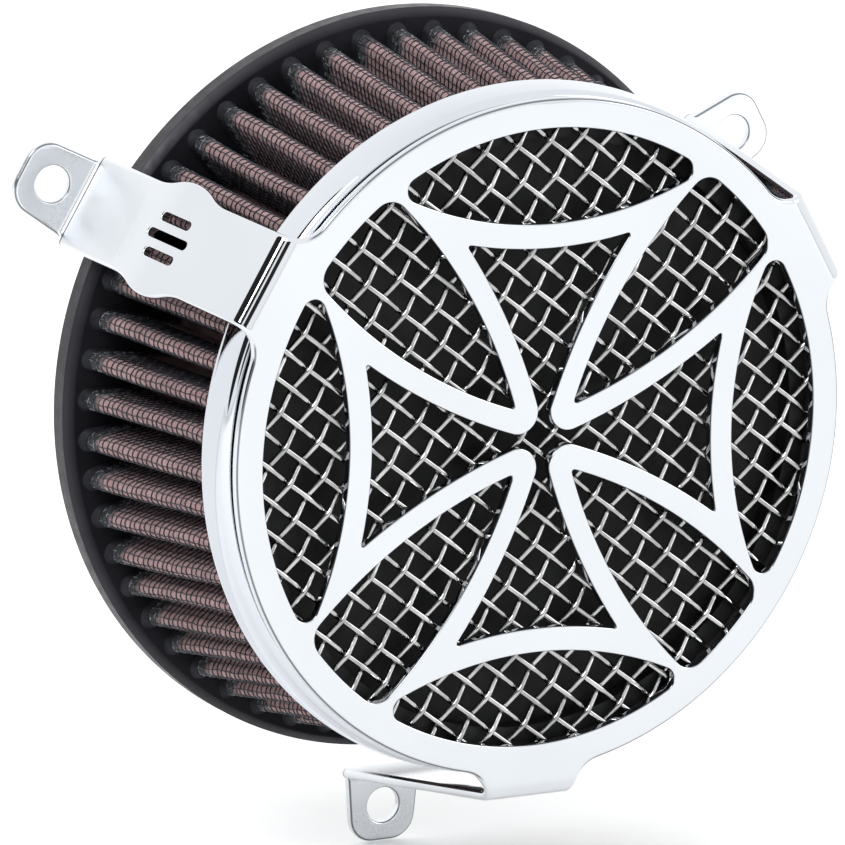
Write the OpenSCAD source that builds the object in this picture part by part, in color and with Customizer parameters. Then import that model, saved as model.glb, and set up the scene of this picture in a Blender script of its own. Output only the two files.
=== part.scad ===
// Round tapered air filter under a folded chrome cover with a wire grille.
// Every part is drawn with its axis along Z, the mounting plane at z = 0 and
// the face towards +Z. mounted() turns it to look along -Y with +Z up.

/* [Cover plate] */
// Distance from the mounting plane to the front of the cover plate
cover_h = 76; // [70:1:90]
// Outside radius of the cover plate
plate_r = 82.2; // [81.5:0.1:83]
// Thickness of the plate, legs and feet, which are one folded sheet
sheet_t = 2.5; // [2:0.1:2.6]
// Inside radius of the plate's outer band, where the openings end
band_r = 75; // [74:0.5:76]

/* [Cut-outs] */
// Radius of the rounded tip of each V
tip_r = 5.2; // [4.5:0.1:6]
// Distance of a V's tip centre from each arm's centreline
tip_at = 6.85; // [6.5:0.05:7.5]
// Half-width of a cross arm at its outer end
arm_end = 22.4; // [21:0.1:23]
// Distance of the corners of a cross arm from the centre
arm_reach = 48.6; // [47:0.1:49]
// Radius of the curved side of a cross arm
arm_side_r = 148; // [140:1:170]
// Radius of the curved end of a cross arm
arm_end_r = 105; // [95:1:120]
// Distance from the centre to the middle of a cross arm's end
arm_end_at = 46.7; // [46:0.1:47.5]
// Radius of the curved side of a corner opening
wedge_side_r = 122.5; // [115:0.5:135]
// Distance of a corner opening's inner point from each arm's centreline
wedge_point = 7.9; // [7.5:0.1:8.5]
// Radius of the outer corners of a corner opening
wedge_corner_r = 5; // [4:0.5:6]
// Inner arc radius of an edge opening
lens_r = 92; // [88:1:100]
// Distance from the centre to the middle of that inner arc
lens_at = 52.2; // [52:0.1:54]
// Radius of the rounded ends of an edge opening
lens_end_r = 3; // [2:0.5:4]

/* [Legs and feet] */
// Directions of the three legs, seen from the front
leg_angles = [30, 150, 270];
// Leg that has the three slots
slotted_leg = 150; // [30, 150, 270]
// Half-width of a leg
leg_w = 11.9; // [11:0.1:13]
// Slope of a leg away from the axis
leg_slope = 10; // [8:0.5:11]
// Radius where the slope of a leg meets the front plane
leg_n = 88; // [87.5:0.1:89]
// Outside radius of the bend at the plate
bend_r = 3; // [3:0.1:3.5]
// Fillet where a leg meets its foot
foot_bend_r = 1.5; // [1:0.1:3.5]
// How far the slotted leg swells on each side at mid length
swell = 2.8; // [1:0.1:3.5]
// Half-length of that swelling
swell_len = 13.5; // [11:0.5:16]
// Radius of the circle of foot holes
foot_circle_r = 109.2; // [108.5:0.1:110]
// Radius of a foot hole
foot_hole_r = 4.5; // [3:0.25:5]
// Radius at which a foot ends
foot_end = 118.4; // [118:0.1:121]
// Radius of the fillet between a leg and the plate's edge
root_fillet = 8; // [6:0.5:9]

/* [Wire mesh] */
// Diameter of the mesh wire
wire_d = 1.4; // [1:0.1:1.4]
// Spacing of the warp wires
warp_pitch = 6.02; // [5:0.01:8]
// Spacing of the weft wires
weft_pitch = 6.51; // [5:0.01:8]
// Direction of the warp wires
warp_angle = -37.4; // [-45:0.1:-30]
// Sideways shift of the warp wires from the centre
warp_shift = 3.47; // [0:0.01:5]
// Sideways shift of the weft wires from the centre
weft_shift = -3.51; // [-5:0.01:0]
// Outside radius of the ring that binds the mesh
rim_r = 78.6; // [78:0.1:79]

/* [Filter] */
// Number of pleats
pleats = 55; // [40:1:60]
// Turn of the pleats about the axis
pleat_turn = 1.7; // [0:0.1:6]
// Radius of the pleat tips at the flange
tip_back = 88.6; // [86:0.1:89]
// Radius of the pleat tips at the trim ring
tip_front = 78.5; // [77:0.1:80]
// Radius of the pleat valleys at the flange
valley_back = 69; // [68:0.5:71]
// Thickness of the cotton
cotton_t = 1.6; // [1:0.1:1.8]
// Thickness of each wire gauze
gauze_t = 0.4; // [0.3:0.05:0.5]
// Outside radius of the rubber flange
flange_r = 92.4; // [91:0.1:94]
// Thickness of the flange
flange_t = 7.5; // [6:0.5:9]
// Radius of the outlet
outlet_r = 60; // [50:0.5:61]
// Height of the outlet's lip
lip_h = 9.5; // [8.5:0.5:12]
// Back edge of the trim ring, from the mounting plane
ring_back = 62.2; // [61:0.1:63]
// Outside radius of the trim ring at its back edge
ring_back_r = 84.4; // [84:0.1:84.5]

/* [Hidden] */
$fn = 96;
arms = [0, 90, 180, 270];
cut = 1;                               // how far a cutter runs past what it cuts
past = 12;                             // the same for the cutters that clear rounded corners
wedge_corner_at = 0.736;               // height of a corner opening's corner, as a share of band_r
plate_back = cover_h - sheet_t;

// Legs: the outer line of a leg leans out by leg_slope, with out2 as its normal.
out2 = [cos(leg_slope), sin(leg_slope)];
bend_c = [leg_n - bend_r * (1 - out2.y) / out2.x, cover_h - bend_r];
foot_c = [leg_n + (foot_bend_r + (cover_h - sheet_t - foot_bend_r) * out2.y) / out2.x,
          sheet_t + foot_bend_r];
leg_top = bend_c + bend_r * out2;      // where the straight part of a leg starts
leg_end = foot_c - foot_bend_r * out2; // where it ends
swell_z = (leg_top.y + leg_end.y) / 2;
swell_arc = (pow(swell_len / 2, 2) + pow(swell / 2, 2)) / swell;
foot_w = 10.2;                         // half-width of a foot where it leaves the bend
foot_tip_w = 9.3;                      // half-width of a foot at its rounded corners
foot_corner = 6.5;
foot_step = 0.6;                       // how much wider it is right at the bend
foot_step_len = 1.6;
lap = 0.4;                             // half-length of the squares that join a leg's stretches
lap_in = 0.5;                          // how far they stay inside the sheet
stub = 5;                              // overlap of a leg's sheet with the plate
slot_w = 2.2;                          // width of the slots in one leg
slot_gap = 4.6;                        // spacing of those slots
slot_len = [9, 13, 9];                 // their lengths between the end arcs' centres

// Mesh: two layers of straight wires between the plate and the dish.
mesh_gap = 0.15;
warp_z = plate_back - mesh_gap - wire_d / 2;
weft_z = warp_z - wire_d - 0.01;
rim_t = 3;
rim_w = 2.4;
wire_reach = rim_r - rim_w / 2;
shortest = 4;                          // no wire runs closer than this to the circle's edge

// Front of the filter, from the trim ring's front inwards.
skin = 1.2;                            // thickness of the ring's and the dish's sheet
ring_front = plate_back - 1.8;
ring_front_r = 82.9;
ring_lip_r = rim_r + 0.7;
dish_top = weft_z - wire_d / 2 - 0.35;
dish_r = 79;
dish_wall_r = 73;
dish_depth = 6.2;
potting_back = ring_back + 0.2;
potting_inner_r = 57;

// Media: the pleat outline at the flange, narrowed towards the front.
media_z0 = 5;
media_z1 = potting_back + 0.8;
fold_tip_r = 2.1;                      // outside radius of a fold at the pleat's tip
fold_valley_r = 1;                     // outside radius of a fold in the valley
taper = 1 - (1 - tip_front / tip_back) * (media_z1 - media_z0) / (ring_back - flange_t);
media_lean = atan(valley_back * (1 - taper) / (media_z1 - media_z0));

function polar(r, a) = r * [cos(a), sin(a)];

module mounted() { rotate([90, 0, 0]) children(); }

// The point at distance ra from a and rb from b, on the right of the line a to b.
function meet(a, ra, b, rb) =
    let (d = norm(b - a), u = (b - a) / d,
         x = (d * d + ra * ra - rb * rb) / (2 * d), y = sqrt(ra * ra - x * x))
    a + x * u + y * [u.y, -u.x];

// ---- cover plate ----

// Leaf of plate between two cross arms, with its tip rounded.
module v_leaf() {
    tip = [tip_at, tip_at];
    c = meet(tip, arm_side_r - tip_r, [arm_end, arm_reach], arm_side_r);
    touch = c + (tip - c) * arm_side_r / norm(tip - c);
    difference() {
        intersection() {
            translate(c) circle(arm_side_r, $fn = 360);
            translate([c.y, c.x]) circle(arm_side_r, $fn = 360);
        }
        polygon([[touch.x, touch.y], [touch.y, touch.x], [-band_r, touch.x - band_r],
                 [touch.x - band_r, -band_r]]);
    }
    translate(tip) circle(tip_r);
}

module cross_opening() {
    difference() {
        square(2 * arm_reach + 2, center = true);
        for (a = arms) rotate(a) {
            translate([0, arm_end_at + arm_end_r]) circle(arm_end_r, $fn = 360);
            v_leaf();
        }
    }
}

// Corner opening: three discs' overlap, with its two outer corners rounded.
module wedge_opening() {
    corner_y = band_r * wedge_corner_at;
    corner = [sqrt(pow(band_r - wedge_corner_r, 2) - corner_y * corner_y), corner_y];
    c = meet([wedge_point, wedge_point], wedge_side_r, corner, wedge_side_r - wedge_corner_r);
    on_side = c + (corner - c) * wedge_side_r / norm(corner - c);
    on_band = corner * band_r / norm(corner);
    difference() {
        intersection() {
            circle(band_r, $fn = 180);
            translate(c) circle(wedge_side_r, $fn = 360);
            translate([c.y, c.x]) circle(wedge_side_r, $fn = 360);
        }
        for (m = [0, 1]) mirror([m, -m])
            polygon([on_side, on_band, on_band + [0, past], on_side + [-past, past]]);
    }
    translate(corner) circle(wedge_corner_r);
    translate([corner.y, corner.x]) circle(wedge_corner_r);
}

// Edge opening: two discs' overlap, with both ends rounded.
module lens_opening() {
    c = [0, lens_at + lens_r];
    end_y = (pow(band_r - lens_end_r, 2) - pow(lens_r - lens_end_r, 2) + c.y * c.y) / (2 * c.y);
    end = [sqrt(pow(band_r - lens_end_r, 2) - end_y * end_y), end_y];
    on_band = end * band_r / norm(end);
    on_inner = c + (end - c) * lens_r / norm(end - c);
    difference() {
        intersection() {
            circle(band_r, $fn = 180);
            translate(c) circle(lens_r, $fn = 360);
        }
        for (m = [0, 1]) mirror([m, 0])
            polygon([on_band, on_inner, on_inner + [past, 0], on_band + [past, 0]]);
    }
    for (m = [0, 1]) mirror([m, 0]) translate(end) circle(lens_end_r);
}

// Tab of the plate that runs to a bend, with fillets to the round edge.
module tab_outline() {
    s = leg_w + root_fillet;
    n = sqrt(pow(plate_r + root_fillet, 2) - s * s);
    touch = s * plate_r / (plate_r + root_fillet);
    difference() {
        translate([0, -touch]) square([bend_c.x, 2 * touch]);
        for (m = [0, 1]) mirror([0, m]) translate([n, s]) circle(root_fillet);
    }
}

// Side view of a leg: bend, sloping strip and the bend into the foot. Small
// squares and stubs inside the sheet make the stretches overlap.
module leg_profile() {
    inner = [leg_end - sheet_t * out2, leg_top - sheet_t * out2];
    polygon([leg_top, leg_end, inner[0], inner[1]]);
    for (joint = [leg_top, leg_end]) translate(joint) rotate(leg_slope)
        translate([lap_in - sheet_t, -lap]) square([sheet_t - 2 * lap_in, 2 * lap]);
    translate([bend_c.x - stub, plate_back]) square([stub, sheet_t]);
    translate([foot_c.x, 0]) square([1, sheet_t]);
    intersection() {
        translate(bend_c) difference() { circle(bend_r); circle(bend_r - sheet_t); }
        polygon([bend_c, bend_c + past * out2, bend_c + [past, past], bend_c + [0, past]]);
    }
    intersection() {
        translate(foot_c) difference() { circle(foot_bend_r + sheet_t); circle(foot_bend_r); }
        polygon([foot_c, foot_c - past * out2, foot_c - [past, past], foot_c - [0, past]]);
    }
}

// Front view of a leg: straight sides, and a swelling at mid length if asked.
module leg_outline(swelled) {
    flare_s = leg_w + root_fillet;
    flare_n = sqrt(pow(plate_r + root_fillet, 2) - flare_s * flare_s);
    flare_z = cover_h - (flare_n - bend_c.x);
    flare_w = leg_w + 2;
    translate([-leg_w, -cut]) square([2 * leg_w, cover_h + 2 * cut]);
    difference() {
        translate([-flare_w, flare_z]) square([2 * flare_w, cover_h - flare_z + cut]);
        for (m = [0, 1]) mirror([m, 0]) translate([flare_s, flare_z]) circle(root_fillet);
    }
    if (swelled) translate([0, swell_z]) {
        difference() {
            square([2 * leg_w + swell, 2 * swell_len], center = true);
            for (m = [0, 1], k = [-1, 1]) mirror([m, 0])
                translate([leg_w + swell_arc, k * swell_len]) circle(swell_arc);
        }
        for (m = [0, 1]) mirror([m, 0]) intersection() {
            translate([leg_w + swell - swell_arc, 0]) circle(swell_arc);
            translate([0, -swell_len / 2]) square([leg_w + swell, swell_len]);
        }
    }
}

// Three plain rounded slots through one leg.
module leg_slots() {
    translate([0, swell_z]) for (i = [-1, 0, 1]) translate([i * slot_gap, 0]) {
        square([slot_w, slot_len[i + 1]], center = true);
        for (k = [-1, 1]) translate([0, k * slot_len[i + 1] / 2]) circle(slot_w / 2, $fn = 32);
    }
}

module foot() {
    corner_n = foot_end - foot_corner;
    difference() {
        linear_extrude(sheet_t) {
            translate([foot_c.x, 0]) polygon([
                [0, -foot_w - foot_step], [foot_step_len, -foot_w], [corner_n - foot_c.x, -foot_tip_w],
                [corner_n - foot_c.x, foot_tip_w], [foot_step_len, foot_w], [0, foot_w + foot_step]]);
            translate([corner_n - cut, foot_corner - foot_tip_w])
                square([foot_corner + cut, 2 * (foot_tip_w - foot_corner)]);
            for (k = [-1, 1]) translate([corner_n, k * (foot_tip_w - foot_corner)])
                circle(foot_corner);
        }
        translate([foot_circle_r, 0, -cut]) cylinder(h = sheet_t + 2 * cut, r = foot_hole_r);
    }
}

// One leg along +X: the side view and the front view cut each other to shape.
module leg(slotted) {
    start = bend_c.x - 2 * stub;
    difference() {
        intersection() {
            rotate([90, 0, 0]) linear_extrude(4 * leg_w, center = true) leg_profile();
            rotate([90, 0, 90]) translate([0, 0, start]) linear_extrude(foot_end - start)
                leg_outline(slotted);
        }
        if (slotted) rotate([90, 0, 90]) translate([0, 0, start]) linear_extrude(foot_end - start)
            leg_slots();
    }
    foot();
}

module face_plate() mounted() color("silver") {
    translate([0, 0, plate_back]) linear_extrude(sheet_t) difference() {
        union() {
            circle(plate_r, $fn = 180);
            for (a = leg_angles) rotate(a) tab_outline();
        }
        cross_opening();
        for (a = arms) rotate(a) { wedge_opening(); lens_opening(); }
    }
    for (a = leg_angles) rotate(a) leg(a == slotted_leg);
}

// ---- wire mesh ----

// Parallel straight wires, each as long as its chord of the mesh's circle.
module wires(angle, pitch, shift, z) {
    count = floor(wire_reach / pitch);
    for (i = [-count : count]) {
        u = i * pitch + shift;
        half = abs(u) < wire_reach - shortest ? sqrt(wire_reach * wire_reach - u * u) : 0;
        if (half > 0) rotate(angle) translate([0, u, z]) rotate([0, 90, 0])
            cylinder(h = 2 * half, d = wire_d, center = true, $fn = 24);
    }
}

module mesh_warp_wires() mounted() color("lightgray")
    wires(warp_angle, warp_pitch, warp_shift, warp_z);

module mesh_weft_wires() mounted() color("gainsboro")
    wires(warp_angle + 90, weft_pitch, -weft_shift, weft_z);

module mesh_rim() mounted() color("dimgray")
    translate([0, 0, plate_back - rim_t]) difference() {
        cylinder(h = rim_t, r = rim_r, $fn = 180);
        translate([0, 0, -cut]) cylinder(h = rim_t + 2 * cut, r = rim_r - rim_w, $fn = 180);
    }

// ---- front of the filter ----

module trim_ring() mounted() color("whitesmoke") rotate_extrude($fn = 180) {
    corner = 1.6;
    corner_c = [ring_front_r - corner, ring_front - corner];
    polygon(concat([[ring_lip_r, ring_front]],
                   [for (a = [90 : -15 : 0]) corner_c + polar(corner, a)],
                   [[ring_back_r, ring_back], [ring_back_r - skin, ring_back],
                    [ring_front_r - skin, ring_front - skin], [ring_lip_r, ring_front - skin]]));
}

module front_dish() mounted() color("black") rotate_extrude($fn = 180)
    polygon([[0, dish_top - dish_depth], [dish_wall_r, dish_top - dish_depth],
             [dish_wall_r, dish_top - skin], [dish_r, dish_top - skin], [dish_r, dish_top],
             [dish_wall_r - skin, dish_top], [dish_wall_r - skin, dish_top - dish_depth + skin],
             [0, dish_top - dish_depth + skin]]);

module front_potting() mounted() color("#202022") rotate_extrude($fn = 180) {
    top = dish_top - skin;
    floor_z = dish_top - dish_depth;
    inner_at = function(z) ring_front_r - skin + (ring_front - skin - z)
        * (ring_back_r - ring_front_r) / (ring_front - skin - ring_back);
    polygon([[potting_inner_r, potting_back], [inner_at(potting_back), potting_back],
             [inner_at(top), top], [dish_wall_r, top], [dish_wall_r, floor_z],
             [potting_inner_r, floor_z]]);
}

// ---- pleats ----

// Points of one skin of the pleated strip at the flange. grow moves the skin
// outwards: tips get wider and valleys get tighter by that much.
function pleat_skin(grow) =
    let (step = 360 / pleats, tip_c = tip_back - fold_tip_r, valley_c = valley_back + fold_valley_r,
         ra = fold_tip_r + grow, rb = fold_valley_r - grow,
         link = polar(valley_c, step / 2) - [tip_c, 0],
         half = atan2(link.y, link.x) - acos((ra + rb) / norm(link)))
    [for (i = [0 : pleats - 1])
        let (a = i * step, v = a + step / 2)
        each concat(
            [for (k = [-1 : 2 / 3 : 1.01]) polar(tip_c, a) + polar(ra, a + k * half)],
            [for (k = [1, 0, -1]) polar(valley_c, v) + polar(rb, v + 180 + k * (half - step / 2))])];

// Closed pleated wall between two skins, narrowed towards the front.
module pleated_wall(outer, inner) {
    rotate(pleat_turn) translate([0, 0, media_z0])
    linear_extrude(media_z1 - media_z0, scale = taper) difference() {
        polygon(pleat_skin(outer));
        polygon(pleat_skin(inner));
    }
}

module pleated_media() mounted() color("rosybrown") pleated_wall(0, -cotton_t);

module outer_screen() mounted() color("#303034") pleated_wall(gauze_t, 0);

module inner_screen() mounted() color("#3a3a40") pleated_wall(-cotton_t, -cotton_t - gauze_t);

// Folded strip that holds the two ends of the pleated sheet together.
module seam_clip() mounted() color("lightsteelblue") {
    length = 48;
    clip_w = 6;
    clip_t = 1.2;
    valley_in = valley_back - cotton_t - gauze_t;
    seam = pleat_turn + (floor(3 * pleats / 4) + 0.5) * 360 / pleats;
    gap = 0.05;
    rotate(seam) translate([valley_in, 0, media_z0]) rotate([0, -media_lean, 0])
        translate([-clip_t - gap, -clip_w / 2, lip_h - media_z0 + 1]) cube([clip_t, clip_w, length]);
}

module base_flange() mounted() color("#2b2b2e") rotate_extrude($fn = 180) {
    bevel = 2.1;
    lip_t = 3;
    polygon([[outlet_r, 0], [flange_r, 0], [flange_r, flange_t - bevel], [flange_r - bevel, flange_t],
             [outlet_r + lip_t + 1, flange_t], [outlet_r + lip_t, lip_h], [outlet_r, lip_h]]);
}

face_plate();
mesh_warp_wires();
mesh_weft_wires();
mesh_rim();
trim_ring();
front_dish();
front_potting();
outer_screen();
pleated_media();
inner_screen();
seam_clip();
base_flange();
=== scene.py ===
"""The looks of a round air filter under a pierced chrome cover.

Shapes are worked out in millimetres along the filter's own axes: x to the right and y up as seen from
the face, and z from the mounting plane towards the face. place() turns them to the row frame, in metres.
"""

import math

import bmesh
import bpy
import numpy as np
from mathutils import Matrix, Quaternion, Vector
from mathutils.geometry import tessellate_polygon


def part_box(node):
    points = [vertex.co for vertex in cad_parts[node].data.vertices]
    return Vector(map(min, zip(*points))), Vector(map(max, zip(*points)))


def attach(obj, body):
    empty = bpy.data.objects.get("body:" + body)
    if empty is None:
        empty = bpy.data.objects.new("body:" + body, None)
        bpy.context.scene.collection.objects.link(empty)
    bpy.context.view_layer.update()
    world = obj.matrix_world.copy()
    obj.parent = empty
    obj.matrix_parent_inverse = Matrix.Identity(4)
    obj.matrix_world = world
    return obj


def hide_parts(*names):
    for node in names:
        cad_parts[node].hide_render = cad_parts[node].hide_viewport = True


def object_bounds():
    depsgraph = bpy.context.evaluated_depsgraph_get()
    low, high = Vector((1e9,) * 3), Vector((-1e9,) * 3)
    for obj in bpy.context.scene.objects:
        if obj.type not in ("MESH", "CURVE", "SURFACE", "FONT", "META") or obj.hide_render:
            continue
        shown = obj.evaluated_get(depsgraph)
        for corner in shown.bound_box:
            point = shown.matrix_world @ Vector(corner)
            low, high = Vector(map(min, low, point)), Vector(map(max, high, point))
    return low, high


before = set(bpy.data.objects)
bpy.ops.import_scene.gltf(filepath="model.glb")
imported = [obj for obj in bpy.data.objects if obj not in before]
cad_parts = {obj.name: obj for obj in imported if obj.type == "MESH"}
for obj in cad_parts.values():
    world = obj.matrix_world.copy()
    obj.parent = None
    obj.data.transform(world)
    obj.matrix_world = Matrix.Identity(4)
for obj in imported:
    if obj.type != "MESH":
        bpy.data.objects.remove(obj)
cad_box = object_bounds()


def local_box(node):
    """Lowest and highest corner of a CAD node along the filter's own axes, in mm."""
    low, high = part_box(node)
    return Vector((low.x, low.z, -high.y)) * 1000, Vector((high.x, high.z, -low.y)) * 1000


# ---- sizes in mm, from the frame where a node's box gives them ----

COVER_H = local_box("face_plate")[1].z
SHEET = 2.5
PLATE_R = 82.2
BAND_R = 75
OUTER_EDGE = 1.0  # rounding of the cover's outside edge
CUT_EDGE = 0.45  # rounding of its cut-outs
HOLE_EDGE, SLOT_EDGE = 0.5, 0.35  # rounding of the foot holes and of the slots
EDGE_LEVELS = 6  # rows of points over one rounded edge
EDGE_DEPTH = 0.24  # how far below the sheet's front the painted dark line along a cut edge lies
CREASE = SHEET + 1.05  # height of the painted shade line in the inside bend of a foot

TIP_R, TIP_AT = 5.2, 6.85
ARM_END, ARM_REACH = 22.4, 48.6
ARM_SIDE_R, ARM_END_R, ARM_END_AT = 148, 105, 46.7
ARM_CORNER = 1.6
WEDGE_SIDE_R, WEDGE_POINT, WEDGE_CORNER_R = 122.5, 7.9, 5
WEDGE_TIP = 1.4
WEDGE_CORNER_AT = 0.736  # height of a corner opening's corner, as a share of BAND_R
LENS_R, LENS_AT, LENS_END_R = 92, 52.2, 3

LEG_ANGLES = (30, 150, 270)
SLOTTED_LEG = 150
LEG_W = 11.9
LEG_SLOPE = math.radians(10)
LEG_N = 88
BEND_R = 4.5
FOOT_BEND_R = 1.5
SWELL, SWELL_LEN = 2.8, 13.5
ROOT_FILLET = 8
FOOT_CIRCLE_R, FOOT_HOLE_R, FOOT_END = 109.2, 4.5, -local_box("face_plate")[0].y
FOOT_W, FOOT_TIP_W, FOOT_CORNER = 10.2, 8.6, 6.5
SHOULDER_AT = 0.55  # where in its bend a leg narrows to the foot, as a share counted back from the foot
SLOT_W, SLOT_GAP, SLOT_LEN = 2.2, 4.6, (9, 13, 9)

WIRE_R, WIRE_SIDES = 0.7, 12
WARP_PITCH, WEFT_PITCH = 6.02, 6.51
WARP_ANGLE = math.radians(-37.4)
WARP_SHIFT, WEFT_SHIFT = 3.47, -3.51
WARP_CRIMP, WEFT_CRIMP = 0.52, 0.77  # how far each wire waves to either side
CREST_SHARPENING = 0.09  # share of the third harmonic in a wire's wave
LAST_WIRE_IN = 4  # how far the last wire on each side stays from the edge of the mesh
MESH_Z = (local_box("mesh_weft_wires")[0].z + local_box("mesh_warp_wires")[1].z) / 2
RIM_W = 2.4
WIRE_REACH = local_box("mesh_rim")[1].x - RIM_W / 2

RING_FRONT, RING_BACK = local_box("trim_ring")[1].z, local_box("trim_ring")[0].z
RING_R, RING_LIP_R, RING_SKIN = local_box("trim_ring")[1].x, 79.3, 1.2
RING_FRONT_R = RING_R - 1.5

FLANGE_R = local_box("base_flange")[1].x
FLANGE_T, FLANGE_BEVEL = 7.5, 2.1
OUTLET_R, LIP_W, LIP_H = 60, 3, local_box("base_flange")[1].z

PLEATS = 55
STEP = 2 * math.pi / PLEATS
PLEAT_TURN = math.radians(1.7)
TIP_BACK, TIP_FRONT, VALLEY_BACK = 88.6, 78.5, 69
FOLD_TIP_R, FOLD_VALLEY_R = 2.1, 1.0
MEDIA_Z0, MEDIA_Z1 = local_box("pleated_media")[0].z, local_box("pleated_media")[1].z
TAPER = 1 - (1 - TIP_FRONT / TIP_BACK) * (MEDIA_Z1 - MEDIA_Z0) / (RING_BACK - FLANGE_T)
COTTON_T, GAUZE_T = 1.6, 0.4
GAUZE_PITCH = 1.9
LENGTHWISE_R, CROSSWISE_R = 0.14, 0.18


# ---- making meshes ----


def place(points):
    """Points in mm along the filter's axes, as metres in the row frame."""
    p = np.asarray(points, float) / 1000
    return np.stack([p[:, 0], -p[:, 2], p[:, 1]], axis=1)


def piece(name, points, faces, body, slot, look, stands_for=(), uvs=None):
    """A smooth mesh piece of the object, riding on a body."""
    mesh = bpy.data.meshes.new(name)
    mesh.from_pydata(place(points).tolist(), [], faces if isinstance(faces, list) else faces.tolist())
    mesh.materials.append(look)
    mesh.shade_smooth()
    if uvs is not None:
        corner = np.zeros(len(mesh.loops), np.int32)
        mesh.loops.foreach_get("vertex_index", corner)
        layer = mesh.uv_layers.new(name="UVMap")
        layer.data.foreach_set("uv", np.asarray(uvs, np.float32)[corner].ravel())
    thing = bpy.data.objects.new(name, mesh)
    bpy.context.scene.collection.objects.link(thing)
    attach(thing, body)
    if stands_for:
        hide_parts(*stands_for)
    return thing


def arc(centre, start, end, step=0.9):
    """Points from start to end round centre, the shorter way, with both ends."""
    c, a, b = np.array(centre, float), np.array(start, float), np.array(end, float)
    a, b = a - c, b - c
    turn = math.atan2(a[0] * b[1] - a[1] * b[0], a @ b)
    count = max(3, math.ceil(abs(turn) * np.hypot(*a) / step))
    share = np.arange(count + 1)[:, None] / count
    angle = math.atan2(a[1], a[0]) + turn * share
    radius = np.hypot(*a) * (1 - share) + np.hypot(*b) * share
    return c + radius * np.hstack([np.cos(angle), np.sin(angle)])


def circle(centre, radius, count=48):
    turn = 2 * np.pi * np.arange(count)[:, None] / count
    return np.array(centre) + radius * np.hstack([np.cos(turn), np.sin(turn)])


def rounded(corners, step=0.3):
    """Closed outline from (x, y, radius) corners, each turned into an arc."""
    out = []
    for i, (x, y, radius) in enumerate(corners):
        at = np.array([x, y], float)
        if radius == 0:
            out.append(at[None])
            continue
        u = np.array(corners[i - 1][:2]) - at
        v = np.array(corners[(i + 1) % len(corners)][:2]) - at
        u, v = u / np.hypot(*u), v / np.hypot(*v)
        half = math.acos(max(-1, min(1, u @ v))) / 2
        middle = (u + v) / np.hypot(*(u + v))
        reach = radius / math.tan(half)
        out.append(arc(at + middle * radius / math.sin(half), at + u * reach, at + v * reach, step))
    return np.vstack(out)


def trimmed(line, cut):
    """A line of points with the length cut taken off both ends."""
    far = np.concatenate([[0], np.cumsum(np.hypot(*np.diff(line, axis=0).T))])
    keep = (far > cut * 1.01) & (far < far[-1] - cut * 1.01)
    ends = [[np.interp(f, far, line[:, k]) for k in (0, 1)] for f in (cut, far[-1] - cut)]
    return np.vstack([ends[0], line[keep], ends[1]])


def joined(stretches, cut):
    """Closed outline of stretches that meet at corners, each corner rounded off over the length cut."""
    out = []
    for i, line in enumerate(stretches):
        following = stretches[(i + 1) % len(stretches)]
        here, there = trimmed(line, cut), trimmed(following, cut)
        corner = (line[-1] + following[0]) / 2
        t = np.linspace(0, 1, 7)[1:-1, None]
        out += [here, here[-1] * (1 - t) ** 2 + 2 * corner * t * (1 - t) + there[0] * t ** 2]
    return np.vstack(out)


def turned(points, angle):
    """Points turned about the axis by an angle in degrees."""
    c, s = math.cos(math.radians(angle)), math.sin(math.radians(angle))
    return np.asarray(points) @ np.array([[c, s], [-s, c]])


def meet(a, ra, b, rb):
    """The point at distance ra from a and rb from b, on the right of the line from a to b."""
    a, b = np.array(a, float), np.array(b, float)
    d = np.hypot(*(b - a))
    u = (b - a) / d
    x = (d * d + ra * ra - rb * rb) / (2 * d)
    return a + x * u + math.sqrt(ra * ra - x * x) * np.array([u[1], -u[0]])


def lathe(profile, steps=360):
    """Points and faces of a closed outline of (radius, z), listed anticlockwise, turned about the axis."""
    profile = np.asarray(profile, float)
    turn = 2 * np.pi * np.arange(steps) / steps
    r, z = profile[:, 0], profile[:, 1]
    points = np.stack([np.outer(np.cos(turn), r), np.outer(np.sin(turn), r),
                       np.broadcast_to(z, (steps, len(z)))], axis=2).reshape(-1, 3)
    return points, grid_faces(len(profile), steps)


def grid_faces(round_count, ring_count):
    """Faces between rings of points, closed round each ring and from the last ring to the first."""
    i, j = np.meshgrid(np.arange(round_count), np.arange(ring_count))
    i2, j2 = (i + 1) % round_count, (j + 1) % ring_count
    corners = [j * round_count + i, j2 * round_count + i, j2 * round_count + i2, j * round_count + i2]
    return np.stack(corners, axis=2).reshape(-1, 4)


def tubes(lines, ups, radius, sides):
    """Points and faces of round tubes along lines, which are (tube, point, 3) arrays, as ups are."""
    along = np.gradient(lines, axis=1)
    along /= np.linalg.norm(along, axis=2, keepdims=True)
    up = ups - along * np.sum(ups * along, axis=2, keepdims=True)
    up /= np.linalg.norm(up, axis=2, keepdims=True)
    across = np.cross(along, up)
    turn = 2 * np.pi * np.arange(sides) / sides
    rings = (lines[:, :, None] + radius * np.cos(turn)[:, None] * up[:, :, None]
             + radius * np.sin(turn)[:, None] * across[:, :, None])
    count, length = lines.shape[:2]
    index = np.arange(count * length * sides).reshape(count, length, sides)
    following = np.roll(index, -1, axis=2)
    walls = np.stack([index[:, :-1], following[:, :-1], following[:, 1:], index[:, 1:]], axis=3)
    faces = walls.reshape(-1, 4).tolist()
    faces += index[:, 0, ::-1].tolist() + index[:, -1].tolist()
    return rings.reshape(-1, 3), faces


def together(parts):
    """Several (points, faces) as one."""
    points, faces, first = [], [], 0
    for p, f in parts:
        points.append(p)
        faces += [[v + first for v in face] for face in f]
        first += len(p)
    return np.vstack(points), faces


# ---- materials ----


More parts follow.
